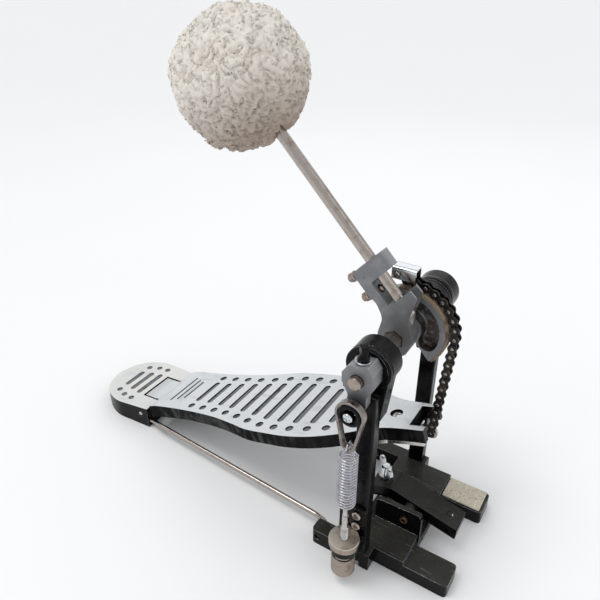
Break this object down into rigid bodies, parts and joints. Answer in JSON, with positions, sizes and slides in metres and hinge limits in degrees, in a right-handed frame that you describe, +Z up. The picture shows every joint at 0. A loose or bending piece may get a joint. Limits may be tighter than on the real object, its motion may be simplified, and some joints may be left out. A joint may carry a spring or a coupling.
{
  "type": "bass drum pedal",
  "caption": "Single-chain bass drum pedal with slotted footboard, heel plate, radius rods, fleece beater, spring adjuster and hoop clamp.",
  "frame": {"origin": "on the floor under the shaft axis, halfway between the uprights, on the underside of the base casting", "axes": "+X towards the drum, +Y to the drummer's left, +Z up"},
  "size_m": [0.337, 0.1373, 0.3351],
  "materials": {
    "black_paint": "gloss black coating with fine dust and scratches",
    "board_metal": "machined satin top over black coated sides, grey textured recess floors",
    "cast_grey": "satin bead-blasted casting",
    "steel": "polished, faintly drawn along its length",
    "chrome": "bright plating",
    "nickel": "warm nickel plating, knurled on the nuts",
    "gunmetal": "dark nickel strip with bright edges",
    "chain_steel": "blackened, with worn bright pin ends",
    "felt": "tan pressed felt",
    "hoop_pad": "cream pad speckled with dirt",
    "fleece": "short curled cream fleece",
    "core_wood": "turned hard core"
  },
  "bodies": {
    "frame": {"base_casting": "black_paint", "near_upright": "black_paint", "far_upright": "black_paint", "near_upright_screw": "steel", "far_upright_screw": "steel", "far_leg_pad": "hoop_pad", "heel_plate": "board_metal", "near_radius_rod": "steel", "far_radius_rod": "steel", "hinge_pin": "steel", "lever_pin": "nickel", "spring_bracket": "black_paint", "lower_bracket_screw": "steel", "upper_bracket_screw": "steel", "near_bearing_outer_ring": "steel", "far_bearing_outer_ring": "steel", "tension_rod": "steel", "nut_washer": "steel"},
    "rotor": {"shaft": "steel", "near_bearing_inner_ring": "steel", "far_bearing_inner_ring": "steel", "far_end_collar": "black_paint", "beater_holder": "cast_grey", "upper_holder_screw": "steel", "lower_holder_screw": "steel", "chain_wheel": "cast_grey", "wheel_felt": "felt", "chain_clip": "chrome", "clip_rivet": "steel", "chain_on_wheel": "chain_steel", "spring_hub": "cast_grey", "hub_key_screw": "steel", "hub_washer": "chrome", "swivel_screw": "steel"},
    "near_cage": {"near_bearing_cage": "nickel"},
    "far_cage": {"far_bearing_cage": "nickel"},
    "beater": {"beater_rod": "steel", "beater_core": "core_wood", "beater_fleece": "fleece"},
    "board": {"footboard": "board_metal", "toe_bracket": "steel", "toe_screw": "steel", "toe_nut": "steel"},
    "link_4": {"chain_link_4": "chain_steel"},
    "link_5": {"chain_link_5": "chain_steel"},
    "link_6": {"chain_link_6": "chain_steel"},
    "chain": {"chain_hanging": "chain_steel"},
    "spring": {"spring": "chrome"},
    "strap": {"strap": "gunmetal", "swivel_disc": "black_paint"},
    "upper_nut": {"upper_knurled_nut": "nickel"},
    "lower_nut": {"lower_knurled_nut": "nickel"},
    "lever": {"clamp_lever": "black_paint"},
    "wing_screw": {"wing_screw": "chrome"}
  },
  "joints": [
    {"name": "beater_swing", "type": "hinge", "parent": "frame", "child": "rotor", "pos_m": [0, 0, 0.1566], "axis": [0, 1, 0], "range_deg": [0, 40], "stiffness_Nm_per_rad": 0.6, "springref_deg": -8.59, "deforming": ["spring"]},
    {"name": "near_cage_turn", "type": "hinge", "parent": "frame", "child": "near_cage", "pos_m": [0, -0.0431, 0.1566], "axis": [0, 1, 0], "range_deg": [0, 17]},
    {"name": "far_cage_turn", "type": "hinge", "parent": "frame", "child": "far_cage", "pos_m": [0, 0.0431, 0.1566], "axis": [0, 1, 0], "range_deg": [0, 17]},
    {"name": "heel_hinge", "type": "hinge", "parent": "frame", "child": "board", "pos_m": [-0.218, 0, 0.0115], "axis": [0, 1, 0], "range_deg": [0, 5.2]},
    {"name": "chain_pin_4", "type": "hinge", "parent": "rotor", "child": "link_4", "pos_m": [0.02461, 0.0079, 0.17427], "axis": [0, 1, 0], "range_deg": [-11.5, 0]},
    {"name": "chain_pin_5", "type": "hinge", "parent": "link_4", "child": "link_5", "pos_m": [0.02775, 0.0079, 0.16876], "axis": [0, 1, 0], "range_deg": [-11.5, 0]},
    {"name": "chain_pin_6", "type": "hinge", "parent": "link_5", "child": "link_6", "pos_m": [0.02968, 0.0079, 0.1627], "axis": [0, 1, 0], "range_deg": [-11.5, 0]},
    {"name": "chain_pin_7", "type": "hinge", "parent": "link_6", "child": "chain", "pos_m": [0.0303, 0.0079, 0.15638], "axis": [0, 1, 0], "range_deg": [-11.5, 0]},
    {"name": "spring_tilt", "type": "hinge", "parent": "frame", "child": "spring", "pos_m": [0, -0.0655, 0.0655], "axis": [0, 1, 0], "range_deg": [-9, 0]},
    {"name": "spring_stretch", "type": "slide", "parent": "spring", "child": "strap", "axis": [0, 0, 1], "range_m": [0, 0.006]},
    {"name": "beater_height", "type": "slide", "parent": "rotor", "child": "beater", "axis": [-0.6868, 0, 0.7268], "range_m": [-0.012, 0.03]},
    {"name": "clamp_tilt", "type": "hinge", "parent": "frame", "child": "lever", "pos_m": [0.0217, 0, 0.0224], "axis": [0, 1, 0], "range_deg": [-14, 0]},
    {"name": "wing_screw_travel", "type": "slide", "parent": "lever", "child": "wing_screw", "axis": [0, 0, 1], "range_m": [0, 0.0066]},
    {"name": "upper_nut_turn", "type": "hinge", "parent": "frame", "child": "upper_nut", "pos_m": [0, -0.0655, 0.035], "axis": [0, 0, 1], "continuous": true},
    {"name": "lower_nut_turn", "type": "hinge", "parent": "frame", "child": "lower_nut", "pos_m": [0, -0.0655, 0.016], "axis": [0, 0, 1], "continuous": true}
  ],
  "couplings": [
    {"joint": "near_cage_turn", "follows": "beater_swing", "ratio": 0.4},
    {"joint": "far_cage_turn", "follows": "beater_swing", "ratio": 0.4},
    {"joint": "heel_hinge", "follows": "beater_swing", "ratio": 0.1249},
    {"joint": "chain_pin_4", "follows": "beater_swing", "ratio": -0.2692},
    {"joint": "chain_pin_5", "follows": "beater_swing", "ratio": -0.2658},
    {"joint": "chain_pin_6", "follows": "beater_swing", "ratio": -0.2701},
    {"joint": "chain_pin_7", "follows": "beater_swing", "ratio": -0.275},
    {"joint": "spring_tilt", "follows": "beater_swing", "ratio": -0.215},
    {"joint": "spring_stretch", "follows": "beater_swing", "m_per_rad": 0.00802},
    {"joint": "wing_screw_travel", "follows": "clamp_tilt", "m_per_rad": -0.0266}
  ]
}
